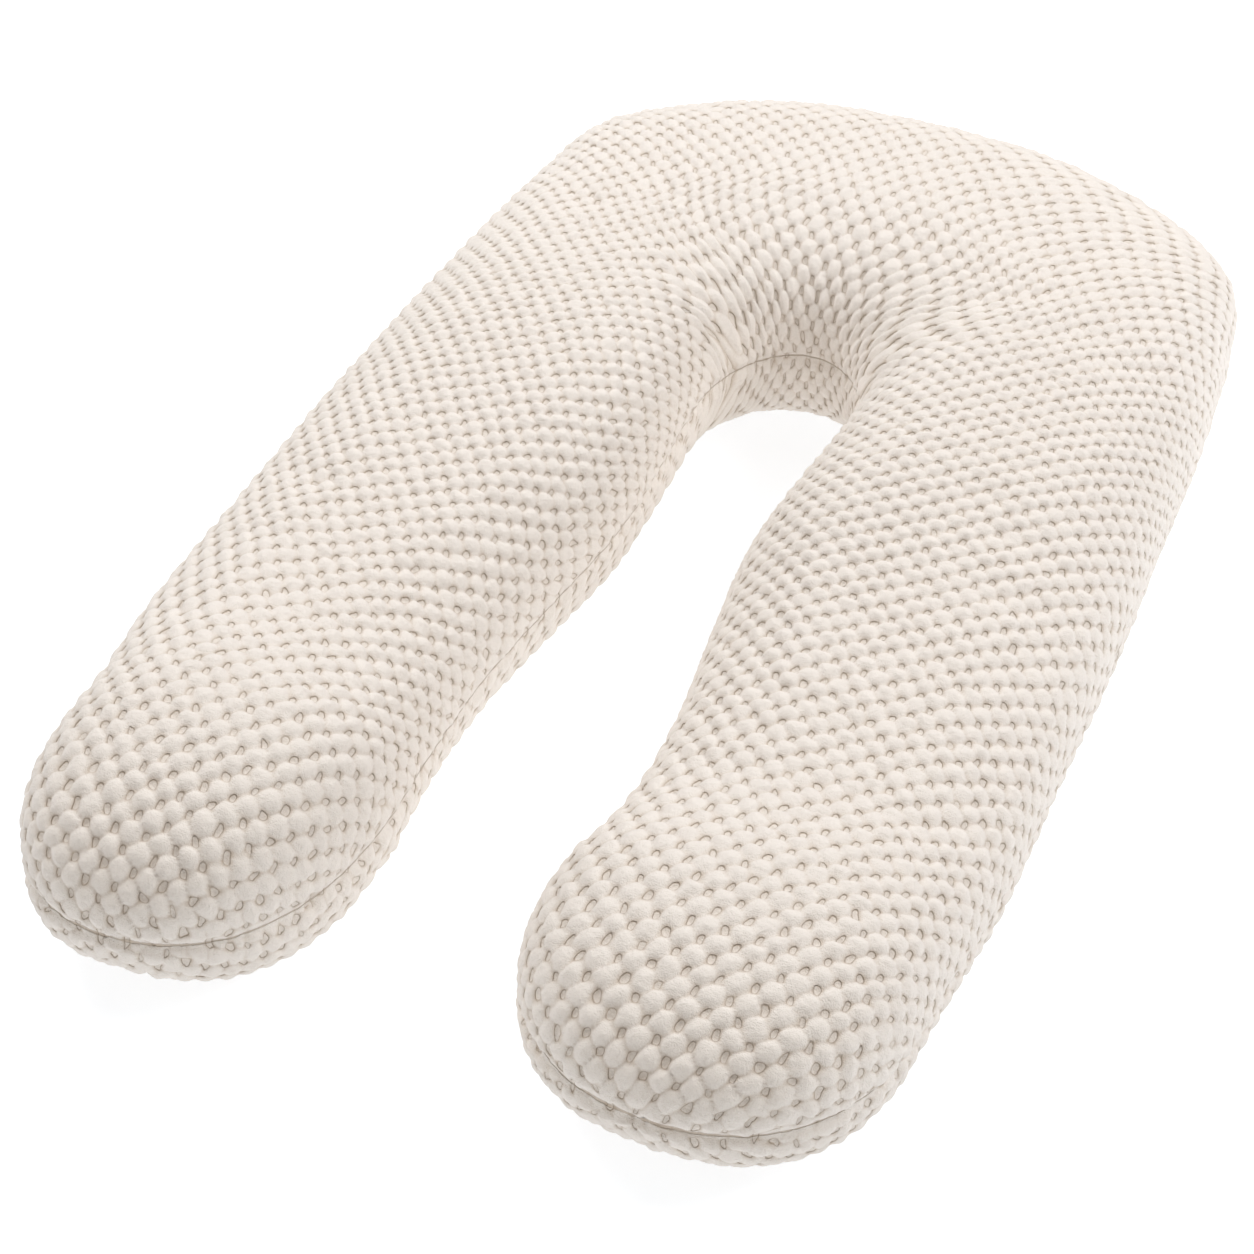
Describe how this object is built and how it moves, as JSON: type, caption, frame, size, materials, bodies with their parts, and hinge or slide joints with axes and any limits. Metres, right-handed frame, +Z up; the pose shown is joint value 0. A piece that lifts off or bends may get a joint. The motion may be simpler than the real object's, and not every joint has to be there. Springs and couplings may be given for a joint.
{
  "type": "pregnancy pillow",
  "caption": "U-shaped full-body support pillow: legs with round ends run from a deep rounded bend, one filled form with a seam round its outline.",
  "frame": {"origin": "centre of the object's box, at the height of the surface that the pillow lies on", "axes": "+Z up, +Y from the legs' ends towards the bend, +X to the right as seen from the legs' ends with +Z up"},
  "size_m": [0.8236, 1.4477, 0.235],
  "materials": {
    "plush_cover": "ivory short-pile plush with small raised bumps"
  },
  "bodies": {
    "root": {"Pillow": "plush_cover"}
  },
  "joints": []
}
